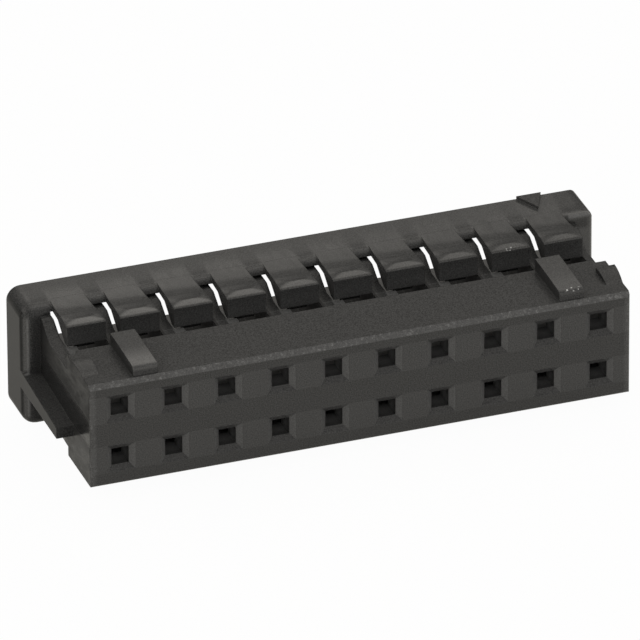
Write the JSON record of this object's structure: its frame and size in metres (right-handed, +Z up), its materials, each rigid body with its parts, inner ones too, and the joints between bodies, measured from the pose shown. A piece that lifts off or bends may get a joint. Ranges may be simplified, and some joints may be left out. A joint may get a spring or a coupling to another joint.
{
  "type": "connector receptacle housing",
  "caption": "Moulded two-row receptacle housing for crimped socket contacts, with square pin entries, spring locking lances, polarising keys, side wings and a rear collar.",
  "frame": {"origin": "middle of the mating face, halfway between the two contact rows", "axes": "+X along the contact rows, +Y from the mating face towards the wire side, +Z up to the side with the polarising keys"},
  "size_m": [0.0216, 0.0074, 0.005],
  "materials": {
    "moulded_plastic": "fine moulded texture with a satin sheen"
  },
  "bodies": {
    "root": {"housing": "moulded_plastic"}
  },
  "joints": []
}
